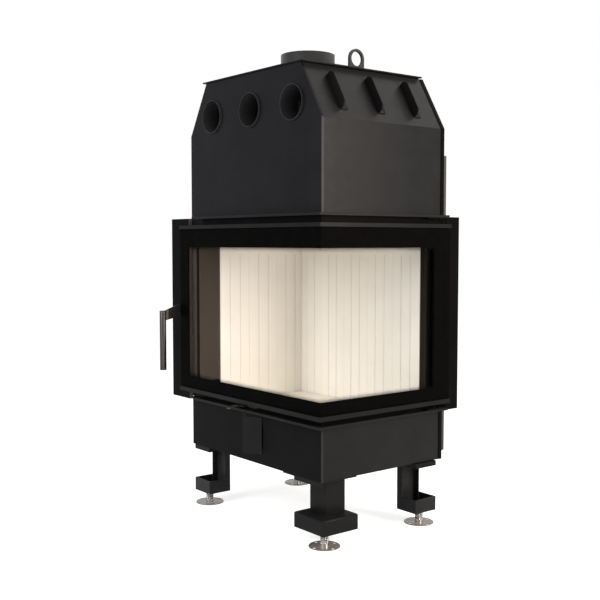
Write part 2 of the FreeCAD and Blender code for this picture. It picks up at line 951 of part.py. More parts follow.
def leg_corner():
    t = leg_sheet
    x1 = corner_reach
    x0 = x1 - corner_width
    y0 = corner_reach
    y1 = y0 + corner_depth
    tray_top = foot_bottom + corner_height
    outer = round_topped(x0, x1, y0, y1, foot_bottom, tray_top, corner_edge)
    inner = round_topped(x0 + t, x1 - t, y0 + t, y1 - t, foot_bottom + t, tray_top - t, corner_edge - t)
    pieces = [outer.cut(inner)]
    pieces.append(box(x0, -sheet, y0, y1, base_bottom - t, base_bottom))
    pieces.append(box(x0, -sheet, y0, y0 + t, leg_cap_bottom, base_bottom))
    post_x0 = -corner_post_x - corner_post_width
    post_y1 = corner_post_y + corner_post_depth
    post = box(post_x0, -corner_post_x, corner_post_y, post_y1, tray_top, base_bottom - t)
    hollow = box(post_x0 + t, -corner_post_x - t, corner_post_y + t, post_y1 - t, tray_top, base_bottom - t)
    pieces.append(post.cut(hollow))
    return fuse(pieces).cut(spindle_hole(x1 - corner_foot, y0 + corner_foot))


# A levelling foot: drilled disc and spindle in one
def levelling_foot():
    disc = Part.makeCylinder(disc_radius, disc_thickness)
    upper = [edge for edge in disc.Edges if edge.BoundBox.ZMin > disc_thickness / 2]
    rim = [edge for edge in upper if edge.BoundBox.ZLength < disc_edge / 2]
    disc = disc.makeChamfer(disc_edge, rim)
    for index in range(disc_hole_count):
        angle = math.radians(360 / disc_hole_count * index)
        x = disc_hole_circle * math.cos(angle)
        y = disc_hole_circle * math.sin(angle)
        disc = disc.cut(rod(disc_hole_radius, Vector(x, y, 0), Vector(x, y, disc_thickness)))
    spindle = rod(spindle_radius, Vector(0, 0, disc_thickness), Vector(0, 0, spindle_top))
    return fuse([disc, spindle])


corner_foot_place = Vector(corner_reach - corner_foot, corner_reach + corner_foot, 0)
parts = {
    "rear_panel": rear_panel(),
    "left_panel": left_panel(),
    "hood_front_panel": hood_front_panel(),
    "hood_right_panel": hood_right_panel(),
    "top_plate": top_plate(),
    "flue_collar": flue_collar(),
    "lifting_eyes": Part.makeCompound([lifting_eye(left + eye_x), lifting_eye(-eye_x)]),
    "spigot_left": spigot(0),
    "spigot_middle": spigot(1),
    "spigot_right": spigot(2),
    "slope_brackets_right": slope_brackets(False),
    "slope_brackets_left": slope_brackets(True),
    "rear_heat_shield": rear_heat_shield(),
    "base_front_panel": base_front_panel(),
    "base_right_panel": base_right_panel(),
    "base_floor": base_floor(),
    "inlet_cover": inlet_cover(),
    "upper_ledge": upper_ledge(),
    "lower_ledge": lower_ledge(),
    "left_flange": left_flange(),
    "right_flange": right_flange(),
    "header": header(),
    "sill": sill(),
    "left_jamb": left_jamb(),
    "rear_jamb": rear_jamb(),
    "door_seal": door_seal(),
    "hinge_bracket_upper": hinge_bracket_upper(),
    "hinge_bracket_lower": hinge_bracket_lower(),
    "hinge_screws": hinge_screws(),
    "latch_keeper": latch_keeper(),
    "firebox_shell": firebox_shell(),
    "firebox_floor": firebox_floor(),
    "smoke_chamber": smoke_chamber(),
    "lower_baffle": lower_baffle(),
    "hearth_slabs": hearth_slabs(),
    "door_glass_front": door_glass_front(),
    "door_glass_right": door_glass_right(),
    "door_top_trim": door_top_trim(),
    "door_bottom_trim": door_bottom_trim(),
    "door_stile": door_stile(),
    "handle_arm": handle_arm(),
    "handle_grip": handle_grip(),
    "air_lever": air_lever(),
    "air_damper": air_damper(),
    "leg_corner": leg_corner(),
    "foot_corner": placed(levelling_foot(), corner_foot_place, 0),
}
for index in range(left_board_count):
    parts["lining_left_%d" % (index + 1)] = lining_left(index)
for index in range(rear_board_count):
    parts["lining_rear_%d" % (index + 1)] = lining_rear(index)
for name, (position, turn, hand) in legs.items():
    parts["leg_" + name] = placed(channel_leg(hand), position, turn)
    foot = levelling_foot()
    foot.translate(Vector(0, foot_setback, 0))
    parts["foot_" + name] = placed(foot, position, turn)

os.makedirs("parts", exist_ok=True)
for name, shape in parts.items():
    shape.translate(Vector(-origin_x, -origin_y, 0))
    shape.exportStep("parts/%s.step" % name)
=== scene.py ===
"""Corner fireplace insert: finishes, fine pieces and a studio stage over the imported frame."""
import math

import bmesh
import bpy
from bpy.props import FloatProperty, FloatVectorProperty, IntProperty, PointerProperty
from bpy.types import NodeSocket, Operator, Panel, PropertyGroup
from mathutils import Matrix, Vector


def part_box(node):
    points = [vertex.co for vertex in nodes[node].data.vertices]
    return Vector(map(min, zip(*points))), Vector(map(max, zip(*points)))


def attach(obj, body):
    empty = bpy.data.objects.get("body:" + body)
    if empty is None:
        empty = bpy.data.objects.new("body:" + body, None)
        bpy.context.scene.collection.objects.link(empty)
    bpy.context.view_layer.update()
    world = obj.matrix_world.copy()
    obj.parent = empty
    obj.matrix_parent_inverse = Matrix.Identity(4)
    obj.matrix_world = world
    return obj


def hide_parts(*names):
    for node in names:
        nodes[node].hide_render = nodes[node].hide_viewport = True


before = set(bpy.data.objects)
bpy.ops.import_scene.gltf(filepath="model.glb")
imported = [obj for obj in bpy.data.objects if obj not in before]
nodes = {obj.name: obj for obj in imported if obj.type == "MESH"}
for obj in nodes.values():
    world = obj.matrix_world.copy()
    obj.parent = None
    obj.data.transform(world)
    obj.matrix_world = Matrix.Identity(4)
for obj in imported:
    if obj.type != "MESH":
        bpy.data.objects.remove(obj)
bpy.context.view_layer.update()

bl_info = {
    "name": "Corner fireplace insert",
    "version": (1, 0, 0),
    "blender": (4, 5, 0),
    "location": "View3D > Sidebar > Insert",
    "description": "Finishes, fine pieces and a studio stage for a corner fireplace insert",
    "category": "Object",
}

# Width of the softened edges, from thin sheet to stout section
shield_edge = 0.0004
steel_edge = 0.0005
plate_edge = 0.0006
sheet_edge = 0.0008
stout_edge = 0.0012
edge_angle = math.radians(40)
weld_reach = 0.00002

# Places where one piece changes its colour: the height of the hood's upright wall, above which the
# slope is painted lighter as painted light, how far the painted highlight at a sheet's end reaches to
# either side of it, the height of a leg's cap and how far its zone goes past the top, the rear jamb's
# zone of darkened steel (painted shade) from the right flange, the jamb's bare steel from the seal's
# ends, and the length of the handle arm's lighter end
hood_wall = 0.3165
highlight_reach = 0.0008
leg_cap = 0.019
leg_cap_over = 0.001
jamb_inset = 0.0005
jamb_reach = 0.2
seal_to_steel = 0.023
arm_end = 0.016

# Fine sizes of the rope, the print and the feet
rope_radius = 0.0065
rope_slack = 0.0002
rope_bend = 0.014
braid_pitch = 0.004
print_inset = 0.0001
dot_sides = 8
disc_below = 0.1
disc_top = 0.0035
thread_start = 0.012
thread_pitch = 0.003

floor_size = 12
sensor_width = 36
soft_white = (1.0, 0.98, 0.95)
warm_white = (1.0, 0.9, 0.81)


def colour_setting(name, description, default):
    return FloatVectorProperty(name=name, description=description, default=default,
                               subtype="COLOR", min=0, max=1)


def length_setting(name, description, default):
    return FloatProperty(name=name, description=description, default=default,
                         subtype="DISTANCE", unit="LENGTH")


def angle_setting(name, description, degrees):
    return FloatProperty(name=name, description=description, default=math.radians(degrees),
                         subtype="ANGLE", unit="ROTATION")


def power_setting(name, description, default):
    return FloatProperty(name=name, description=description, default=default, unit="POWER")


class InsertPaints(PropertyGroup):
    """Colours and gloss of the painted steel and of the fire boards"""

    casing: colour_setting("Casing", "Matte black of the hood, base and back", (0.0088, 0.0088, 0.0091))
    # Painted light: the hood front's black is a cooler, darker copy of the casing black, for the cool light
    # that falls on the front
    front: colour_setting("Hood front", "Cooler black of the hood's front", (0.0078, 0.0079, 0.0095))
    surround: colour_setting("Surround", "Black of the flanges and ledges", (0.0034, 0.0034, 0.0034))
    door: colour_setting("Door rails", "Satin black of the door rails", (0.0075, 0.0073, 0.0072))
    steel: colour_setting("Firebox steel", "Warm dark steel beside the fire", (0.056, 0.045, 0.037))
    board: colour_setting("Fire board", "Pale cream of the lining", (0.9, 0.86, 0.785))
    roughness: FloatProperty(name="Paint roughness", description="How matte the stove paint is", default=0.34)
    gloss: FloatProperty(name="Paint gloss", description="Specular level of the stove paint", default=0.05)


class InsertDoor(PropertyGroup):
    """Printed border of the door's panes"""

    print_top: length_setting("Print top", "Height of the border under the top rail", 0.082)
    print_bottom: length_setting("Print bottom", "Height of the border over the bottom rail", 0.061)
    print_left: length_setting("Print left", "Width of the border at the handle", 0.058)
    print_rear: length_setting("Print rear", "Width of the border at the hinge", 0.079)
    dot_pitch: length_setting("Dot pitch", "Distance between dots at the border's edge", 0.0045)
    dot_rows: IntProperty(name="Dot rows", description="Rows of dots where the border fades", default=4)


class InsertStage(PropertyGroup):
    """Camera and lamps"""

    place: FloatVectorProperty(name="Camera place", description="Where the camera stands",
                               default=(2.8639, -2.2678, 1.0438), subtype="XYZ", unit="LENGTH")
    yaw: angle_setting("Camera yaw", "Turn to the left from +Y", 51.70)
    pitch: angle_setting("Camera pitch", "Tilt below the horizon", 3.56)
    lens: FloatProperty(name="Lens", description="Focal length on a 36 mm sensor", default=56.46,
                        unit="CAMERA")
    key_power: power_setting("Key lamp", "Power of the lamp at the right", 104.0)
    fill_power: power_setting("Fill lamp", "Power of the lamp at the front", 88.0)
    top_power: power_setting("Top lamp", "Power of the lamp over the back", 30.0)
    sky: FloatProperty(name="Sky", description="Strength of the light from all round", default=0.45)


def settings(group):
    return getattr(bpy.context.scene, "insert_" + group)


# Material nodes
def material(name):
    made = bpy.data.materials.new(name)
    made.use_nodes = True
    return made, made.node_tree, made.node_tree.nodes["Principled BSDF"]


# Links a socket to another, or gives it a value
def feed(tree, socket, value):
    if isinstance(value, NodeSocket):
        tree.links.new(value, socket)
    else:
        socket.default_value = value


def add_node(tree, kind, **values):
    made = tree.nodes.new(kind)
    for key, value in values.items():
        if key in made.inputs:
            feed(tree, made.inputs[key], value)
        else:
            setattr(made, key, value)
    return made


def set_shader(tree, shader, sockets):
    for name, value in sockets.items():
        feed(tree, shader.inputs[name], value)


def object_place(tree):
    return tree.nodes.new("ShaderNodeTexCoord").outputs["Object"]


def arithmetic(tree, operation, *values):
    made = add_node(tree, "ShaderNodeMath", operation=operation)
    for socket, value in zip(made.inputs, values):
        feed(tree, socket, value)
    return made.outputs[0]


def mix_colours(tree, factor, first, second, blend="MIX"):
    made = add_node(tree, "ShaderNodeMix", data_type="RGBA", blend_type=blend)
    for index, value in ((0, factor), (6, first), (7, second)):
        feed(tree, made.inputs[index], value)
    return made.outputs[2]


def two_tone(tree, factor, dark, light):
    return mix_colours(tree, factor, (*dark, 1), (*light, 1))


def shaded(colour, factor):
    return tuple(min(1.0, channel * factor) for channel in colour)


def grain(tree, place, scale, detail=4.0):
    noise = add_node(tree, "ShaderNodeTexNoise", Vector=place, Scale=scale, Detail=detail, Roughness=0.55)
    return noise.outputs["Fac"]


# Carries a value from one range to another
def spread(tree, value, low, high, start=0.3, end=0.7):
    sockets = {"Value": value, "From Min": start, "From Max": end, "To Min": low, "To Max": high}
    return add_node(tree, "ShaderNodeMapRange", **sockets).outputs["Result"]


def clouds(tree, place, scale):
    return spread(tree, grain(tree, place, scale), low=0.0, high=1.0)


def wave(tree, value, pitch):
    return arithmetic(tree, "SINE", arithmetic(tree, "MULTIPLY", value, 2 * math.pi / pitch))


def relief(tree, shader, height, strength, distance):
    bump = add_node(tree, "ShaderNodeBump", Strength=strength, Distance=distance, Height=height)
    tree.links.new(bump.outputs["Normal"], shader.inputs["Normal"])


def along(tree, place, axis):
    return add_node(tree, "ShaderNodeSeparateXYZ", Vector=place).outputs[axis]


# One where a place lies between two values on an axis, else nought
def between(tree, place, axis, low, high):
    return arithmetic(tree, "COMPARE", along(tree, place, axis), (low + high) / 2, (high - low) / 2)


# Matte paint; a zone is an axis, its two limits and the other colour between them
def stove_paint(name, colour, roughness, gloss, zone=None):
    made, tree, shader = material(name)
    place = object_place(tree)
    tone = two_tone(tree, clouds(tree, place, scale=9.0), shaded(colour, 0.82), shaded(colour, 1.2))
    if zone:
        axis, low, high, other = zone
        tone = mix_colours(tree, between(tree, place, axis, low, high), tone, (*other, 1))
    mottle = grain(tree, place, scale=35.0)
    set_shader(tree, shader, {
        "Base Color": tone,
        "Roughness": spread(tree, mottle, low=roughness - 0.05, high=roughness + 0.06),
        "Specular IOR Level": gloss,
    })
    relief(tree, shader, grain(tree, place, scale=900.0, detail=2.0), strength=0.12, distance=0.0004)
    return made


# Pale board of pressed flakes, with painted shade from an occlusion node darkening its grooves and corners
def fire_board_stone(name, colour):
    made, tree, shader = material(name)
    place = object_place(tree)
    flakes = add_node(tree, "ShaderNodeTexVoronoi", Vector=place, Scale=260.0).outputs["Distance"]
    speckle = spread(tree, flakes, low=0.0, high=1.0, start=0.1, end=0.6)
    speckle_share = 0.35
    blend = arithmetic(tree, "MULTIPLY_ADD", speckle, speckle_share, clouds(tree, place, scale=6.0))
    stone = two_tone(tree, blend, shaded(colour, 0.96), shaded(colour, 1.02))
    hollow = add_node(tree, "ShaderNodeAmbientOcclusion", Distance=0.015).outputs["AO"]
    painted_shade = spread(tree, hollow, low=0.86, high=1.0, start=0.3, end=0.85)
    set_shader(tree, shader, {
        "Base Color": mix_colours(tree, 1.0, stone, painted_shade, blend="MULTIPLY"),
        "Roughness": spread(tree, grain(tree, place, scale=60.0), low=0.82, high=0.95),
        "Specular IOR Level": 0.15,
    })
    relief(tree, shader, flakes, strength=0.15, distance=0.0005)
    return made


# Zinc with a screw thread in its relief, over a duller disc painted darker, as painted shade for the dark
# reflection the disc shows
def bright_zinc(name):
    made, tree, shader = material(name)
    place = object_place(tree)
    zinc = two_tone(tree, clouds(tree, place, scale=70.0), (0.5, 0.49, 0.48), (0.72, 0.71, 0.7))
    disc = between(tree, place, "Z", -disc_below, disc_top)
    set_shader(tree, shader, {
        "Base Color": mix_colours(tree, disc, zinc, (0.19, 0.16, 0.14, 1)),
        "Metallic": spread(tree, disc, low=1.0, high=0.3, start=0.0, end=1.0),
        "Roughness": spread(tree, grain(tree, place, scale=140.0), low=0.16, high=0.3),
    })
    height = along(tree, place, "Z")
    threaded = arithmetic(tree, "GREATER_THAN", height, thread_start)
    thread = arithmetic(tree, "MULTIPLY", wave(tree, height, thread_pitch), threaded)
    relief(tree, shader, thread, strength=0.8, distance=0.0008)
    return made


# Bare steel with upright brush lines
def brushed_steel(name, colour, roughness, fineness, contrast):
    made, tree, shader = material(name)
    stretch = add_node(tree, "ShaderNodeMapping", Vector=object_place(tree), Scale=(1, 1, 0.02))
    lines = grain(tree, stretch.outputs["Vector"], fineness, detail=2.0)
    tone = spread(tree, lines, low=0.0, high=1.0)
    set_shader(tree, shader, {
        "Base Color": two_tone(tree, tone, shaded(colour, 1 - contrast), shaded(colour, 1 + contrast)),
        "Roughness": spread(tree, lines, low=roughness - 0.05, high=roughness + 0.05),
        "Metallic": 1.0,
    })
    relief(tree, shader, lines, strength=0.05, distance=0.0003)
    return made


# Thin clear glass: light goes nearly straight through it
def pane_glass(name):
    made, tree, shader = material(name)
    film = grain(tree, object_place(tree), scale=12.0)
    set_shader(tree, shader, {
        "Base Color": (0.97, 0.975, 0.97, 1),
        "Transmission Weight": 1.0,
        "Roughness": spread(tree, film, low=0.0, high=0.03),
        "IOR": 1.02,
        "Alpha": 0.04,
    })
    return made


def enamel(name):
    made, tree, shader = material(name)
    place = object_place(tree)
    tone = clouds(tree, place, scale=25.0)
    set_shader(tree, shader, {
        "Base Color": two_tone(tree, tone, (0.0014, 0.0014, 0.0014), (0.0024, 0.0023, 0.0022)),
        "Roughness": spread(tree, grain(tree, place, scale=90.0), low=0.4, high=0.55),
        "Specular IOR Level": 0.006,
    })
    return made


# Two slanting sets of strands that cross
def braided_fibre(name):
    made, tree, shader = material(name)
    place = object_place(tree)
    strands = []
    for direction in ((1, 1, 1), (1, 1, -1)):
        across = add_node(tree, "ShaderNodeVectorMath", operation="DOT_PRODUCT")
        feed(tree, across.inputs[0], place)
        feed(tree, across.inputs[1], direction)
        strands.append(wave(tree, across.outputs["Value"], braid_pitch))
    braid = arithmetic(tree, "MULTIPLY", *strands)
    tone = spread(tree, braid, low=0.0, high=1.0, start=-1.0, end=1.0)
    set_shader(tree, shader, {
        "Base Color": two_tone(tree, tone, (0.004, 0.004, 0.004), (0.02, 0.019, 0.018)),
        "Roughness": 0.95,
        "Specular IOR Level": 0.02,
    })
    relief(tree, shader, braid, strength=0.7, distance=0.001)
    return made


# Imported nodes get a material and, where an edge width is given, softened edges
def finish_nodes(names, finish, edge=0.0):
    for name in names:
        node = nodes[name]
        for entry in node.material_slots:
            entry.material = finish
        if edge:
            weld = node.modifiers.new("joined corners", "WELD")
            weld.merge_threshold = weld_reach
            bevel = node.modifiers.new("soft edges", "BEVEL")
            bevel.width = edge
            bevel.segments = 2
            bevel.limit_method = "ANGLE"
            bevel.angle_limit = edge_angle
            bevel.harden_normals = True


def add_piece(name, shape, finish, body, replaced=()):
    mesh = bpy.data.meshes.new(name)
    shape.to_mesh(mesh)
    shape.free()
    piece = bpy.data.objects.new(name, mesh)
    bpy.context.scene.collection.objects.link(piece)
    mesh.materials.append(finish)
    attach(piece, body)
    if replaced:
        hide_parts(*replaced)


class InsertOperator(Operator):
    """What the operators of this file share"""

    bl_options = {"REGISTER", "UNDO"}


class OBJECT_OT_insert_casing(InsertOperator):
    """Paints the hood, base, back and legs"""

    bl_idname = "insert.casing"
    bl_label = "Casing"

    def execute(self, context):
        self.paint_hood()
        self.paint_back()
        self.paint_sheets_and_legs()
        return {"FINISHED"}

    # The casing's paint, with its colour and gloss as multiples of the settings; a tint other than one makes
    # a lighter or darker copy that paints light or shade into it
    def coat(self, name, tint=1.0, gloss=1.0, zone=None):
        paints = settings("paints")
        return stove_paint(name, shaded(paints.casing, tint), paints.roughness, paints.gloss * gloss, zone)

    def paint_hood(self):
        paints = settings("paints")
        low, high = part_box("hood_right_panel")
        # Painted light: the slope above the upright wall gets a lighter copy of the casing black, where light
        # from above falls on it
        slope_painted_light = ("Z", low.z + hood_wall, high.z, shaded(paints.casing, 1.9))
        side_paint = self.coat("side_paint", gloss=1.4, zone=slope_painted_light)
        finish_nodes(("hood_right_panel", "base_right_panel"), side_paint, sheet_edge)
        finish_nodes(["inlet_cover"], self.coat("cover_paint", gloss=1.8), sheet_edge)
        front_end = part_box("hood_front_panel")[1].x
        # Painted highlight: a much lighter band along the hood front's fold at its right end, standing in for
        # the light the rim catches
        front_fold_highlight = ("X", front_end - highlight_reach, front_end + highlight_reach, shaded(paints.casing, 5.0))
        front_gloss = paints.gloss * 0.9
        # Painted light: the front panel takes the cooler, darker copy of the casing black
        front_paint = stove_paint("front_paint", paints.front, paints.roughness, front_gloss, front_fold_highlight)
        finish_nodes(["hood_front_panel"], front_paint, sheet_edge)
        # Painted shade and highlight: the base front gets a darker copy of the casing black, with a lighter
        # band along its fold as a painted highlight
        base_fold_highlight = ("X", front_end - highlight_reach, front_end + highlight_reach, shaded(paints.casing, 3.0))
        base_paint = self.coat("base_paint", tint=0.55, gloss=0.4, zone=base_fold_highlight)
        finish_nodes(["base_front_panel"], base_paint, sheet_edge)
        # Painted light: the flue collar, lifting eyes and spigots get a much lighter copy of the casing
        # black, standing in for the light they catch
        painted_lit_paint = self.coat("painted_lit_paint", tint=3.4, gloss=2.0)
        outlets = ("flue_collar", "lifting_eyes", "spigot_left", "spigot_middle", "spigot_right")
        finish_nodes(outlets, painted_lit_paint, plate_edge)

    def paint_back(self):
        paints = settings("paints")
        rear_paint = stove_paint("rear_paint", paints.surround, paints.roughness, gloss=0.015)
        finish_nodes(["rear_panel"], rear_paint, sheet_edge)
        shield_steel = brushed_steel("shield_steel", colour=(0.05, 0.046, 0.042), roughness=0.45,
                                     fineness=900.0, contrast=0.15)
        finish_nodes(["rear_heat_shield"], shield_steel, shield_edge)

    def paint_sheets_and_legs(self):
        sheet_paint = self.coat("casing_paint")
        sheets = ("left_panel", "top_plate", "base_floor", "slope_brackets_right", "slope_brackets_left")
        finish_nodes(sheets, sheet_paint, sheet_edge)
        finish_nodes(["leg_corner"], sheet_paint, stout_edge)
        leg_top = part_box("leg_front_left")[1].z
        cap_colour = shaded(settings("paints").casing, 0.5)
        cap = ("Z", leg_top - leg_cap, leg_top + leg_cap_over, cap_colour)
        # Painted light: the legs get lighter copies of the casing black, the front-left leg the lightest;
        # their top cap keeps a darker colour like the base's
        leg_paint = self.coat("leg_paint", tint=1.8, gloss=1.1, zone=cap)
        finish_nodes(("leg_rear_left", "leg_rear_right"), leg_paint, stout_edge)
        front_leg_paint = self.coat("front_leg_paint", tint=3.0, gloss=1.2, zone=cap)
        finish_nodes(["leg_front_left"], front_leg_paint, stout_edge)


class OBJECT_OT_insert_surround(InsertOperator):
    """Paints the ledges, wall flanges and hinge brackets"""

    bl_idname = "insert.surround"
    bl_label = "Door surround"

    def execute(self, context):
        paints = settings("paints")
        surround = stove_paint("surround_paint", paints.surround, paints.roughness, gloss=0.01)
        plates = ("right_flange", "header", "sill", "latch_keeper")
        brackets = ("hinge_bracket_upper", "hinge_bracket_lower")
        finish_nodes(plates + brackets, surround, plate_edge)
        flange_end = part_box("left_flange")[1].x
        # The flange's end band is steel-coloured and made 2.8 times lighter as a painted highlight on its
        # edge
        light_end = ("X", flange_end - highlight_reach, flange_end + highlight_reach, shaded(paints.steel, 2.8))
        flange = stove_paint("flange_paint", paints.surround, paints.roughness, gloss=0.012, zone=light_end)
        finish_nodes(["left_flange"], flange, plate_edge)
        low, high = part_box("right_flange")
        # Painted shade: the rear jamb's steel is a darkened copy of the firebox steel
        shaded_jamb_steel = ("X", low.x - jamb_reach, high.x - jamb_inset, shaded(paints.steel, 0.4))
        rear_jamb = stove_paint("rear_jamb_paint", paints.surround, roughness=0.55, gloss=0.01, zone=shaded_jamb_steel)
        finish_nodes(["rear_jamb"], rear_jamb, plate_edge)
        ledge = stove_paint("ledge_paint", paints.door, roughness=0.4, gloss=0.07)
        finish_nodes(("upper_ledge", "lower_ledge"), ledge, plate_edge)
        finish_nodes(["hinge_screws"], ledge, steel_edge)
        return {"FINISHED"}


class OBJECT_OT_insert_firebox(InsertOperator):
    """Finishes the firebox steel and its pale lining"""

    bl_idname = "insert.firebox"
    bl_label = "Firebox"

    def execute(self, context):
        paints = settings("paints")
        steel = stove_paint("firebox_steel", paints.steel, roughness=0.55, gloss=0.1)
        finish_nodes(("firebox_shell", "firebox_floor", "smoke_chamber", "air_damper"), steel, steel_edge)
        low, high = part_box("door_seal")
        bare = ("Z", low.z + seal_to_steel, high.z - seal_to_steel, paints.steel)
        jamb = stove_paint("jamb_steel", paints.surround, roughness=0.55, gloss=0.05, zone=bare)
        finish_nodes(["left_jamb"], jamb, steel_edge)
        lining = [name for name in nodes if name.startswith("lining_")]
        board = fire_board_stone("fire_board", paints.board)
        finish_nodes(lining + ["hearth_slabs", "lower_baffle"], board, stout_edge)
        return {"FINISHED"}


class OBJECT_OT_insert_door(InsertOperator):
    """Glazes the door, prints its black border and paints its rails"""

    bl_idname = "insert.door"
    bl_label = "Door"

    def execute(self, context):
        paints = settings("paints")
        door = settings("door")
        rail = stove_paint("door_paint", paints.door, roughness=0.34, gloss=0.055)
        finish_nodes(("door_top_trim", "door_bottom_trim", "door_stile"), rail, steel_edge)
        finish_nodes(("door_glass_front", "door_glass_right"), pane_glass("fire_glass"))
        black = enamel("black_enamel")
        low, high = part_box("door_glass_front")
        front = Matrix(((1, 0, 0, low.x), (0, 0, -1, high.y - print_inset), (0, 1, 0, low.z), (0, 0, 0, 1)))
        print_border("door_print_front", front, high.x - low.x, high.z - low.z, door.print_left, 0, black)
        low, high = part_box("door_glass_right")
        right = Matrix(((0, 0, 1, low.x + print_inset), (1, 0, 0, low.y), (0, 1, 0, low.z), (0, 0, 0, 1)))
        print_border("door_print_right", right, high.y - low.y, high.z - low.z, 0, door.print_rear, black)
        return {"FINISHED"}


# A black border inside a pane, drawn flat with its width along X, then placed.
# Start and end are the border's widths at the pane's two sides; a bare side has none.
def print_border(name, place, width, height, start, end, finish):
    door = settings("door")
    low = door.print_bottom
    high = height - door.print_top
    shape = bmesh.new()
    bmesh.ops.create_grid(shape, x_segments=1, y_segments=1, size=0.5)
    bmesh.ops.translate(shape, verts=shape.verts, vec=(0.5, 0.5, 0))
    bmesh.ops.scale(shape, verts=shape.verts, vec=(width, height, 1))
    for point, normal in (((start, 0, 0), (1, 0, 0)), ((width - end, 0, 0), (1, 0, 0)),
                          ((0, low, 0), (0, 1, 0)), ((0, high, 0), (0, 1, 0))):
        cut = shape.verts[:] + shape.edges[:] + shape.faces[:]
        bmesh.ops.bisect_plane(shape, geom=cut, plane_co=point, plane_no=normal)
    window = []
    for face in shape.faces:
        middle = face.calc_center_median()
        if start < middle.x < width - end and low < middle.y < high:
            window.append(face)
    bmesh.ops.delete(shape, geom=window, context="FACES")
    pitch = door.dot_pitch
    for row in range(door.dot_rows):
        radius = pitch * (0.42 - 0.1 * row)
        inset = pitch * (0.5 + 0.86 * row)
        shift = pitch * 0.5 * (row % 2)
        for y in (low + inset, high - inset):
            for step in range(int((width - start - end) / pitch)):
                add_dot(shape, start + shift + (step + 0.5) * pitch, y, radius)
        x = start + inset if start else width - end - inset
        for step in range(int((high - low) / pitch)):
            add_dot(shape, x, low + shift + (step + 0.5) * pitch, radius)
    bmesh.ops.transform(shape, matrix=place, verts=shape.verts)
    add_piece(name, shape, finish, "door")


def add_dot(shape, x, y, radius):
    place = Matrix.Translation((x, y, 0))
    bmesh.ops.create_circle(shape, cap_ends=True, segments=dot_sides, radius=radius, matrix=place)


class OBJECT_OT_insert_seal(InsertOperator):
    """Lays the braided rope seal in its channel"""

    bl_idname = "insert.seal"
    bl_label = "Rope seal"

    def execute(self, context):
        curve = bpy.data.curves.new("rope_route", "CURVE")
        curve.dimensions = "3D"
        route = self.route()
        line = curve.splines.new("POLY")
        line.points.add(len(route) - 1)
        for point, place in zip(line.points, route):
            point.co = (*place, 1)
        line.use_cyclic_u = True
        curve.bevel_depth = rope_radius - rope_slack
        curve.bevel_resolution = 4
        path = bpy.data.objects.new("rope_route", curve)
        rope = bmesh.new()
        rope.from_mesh(bpy.data.meshes.new_from_object(path))
        bpy.data.objects.remove(path)
        for face in rope.faces:
            face.smooth = True
        add_piece("rope_seal", rope, braided_fibre("rope_fibre"), "casing", ["door_seal"])
        return {"FINISHED"}

    # The rope's centre line: round the L-shaped mouth, with rounded corners
    def route(self):
        low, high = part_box("door_seal")
        front = low.y + rope_radius
        right = high.x - rope_radius
        left = low.x + rope_radius
        rear = high.y - rope_radius
        bottom = low.z + rope_radius
        top = high.z - rope_radius
        turns = ((left, front), (right, front), (right, rear))
        corners = [(x, y, bottom) for x, y in turns] + [(x, y, top) for x, y in reversed(turns)]
        shape = bmesh.new()
        ring = [shape.verts.new(corner) for corner in corners]
        for index, vert in enumerate(ring):
            shape.edges.new((vert, ring[(index + 1) % len(ring)]))
        bmesh.ops.bevel(shape, geom=shape.verts[:], affect="VERTICES", offset=rope_bend, segments=5,
                        profile=0.5, material=-1)
        shape.verts.ensure_lookup_table()
        chain = [shape.verts[0]]
        while len(chain) < len(shape.verts):
            following = [edge.other_vert(chain[-1]) for edge in chain[-1].link_edges]
            chain.append(next(vert for vert in following if vert not in chain[-2:]))
        places = [vert.co.copy() for vert in chain]
        shape.free()
        return places


class OBJECT_OT_insert_handle(InsertOperator):
    """Finishes the handle and the air lever"""

    bl_idname = "insert.handle"
    bl_label = "Handle and air lever"

    def execute(self, context):
        paints = settings("paints")
        arm_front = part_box("handle_arm")[0].y
        # The arm is lighter at its front end
        light_end = ("Y", arm_front, arm_front + arm_end, (0.16, 0.14, 0.125))
        arm = stove_paint("arm_paint", shaded(paints.door, 3.0), roughness=0.38, gloss=0.1, zone=light_end)
        finish_nodes(["handle_arm"], arm, sheet_edge)
        grip = brushed_steel("grip_steel", colour=(0.058, 0.054, 0.05), roughness=0.42,
                             fineness=260.0, contrast=0.6)
        finish_nodes(["handle_grip"], grip, stout_edge)
        # The lever's lighter grey is partly its own steel and partly a painted highlight for its bright tip
        lever = stove_paint("lever_paint", shaded(paints.door, 5.0), roughness=0.3, gloss=0.35)
        finish_nodes(["air_lever"], lever, stout_edge)
        return {"FINISHED"}


class OBJECT_OT_insert_feet(InsertOperator):
    """Finishes the levelling feet"""

    bl_idname = "insert.feet"
    bl_label = "Levelling feet"

    def execute(self, context):
        feet = ("foot_corner", "foot_front_left", "foot_rear_left", "foot_rear_right")
        finish_nodes(feet, bright_zinc("foot_zinc"))
        return {"FINISHED"}


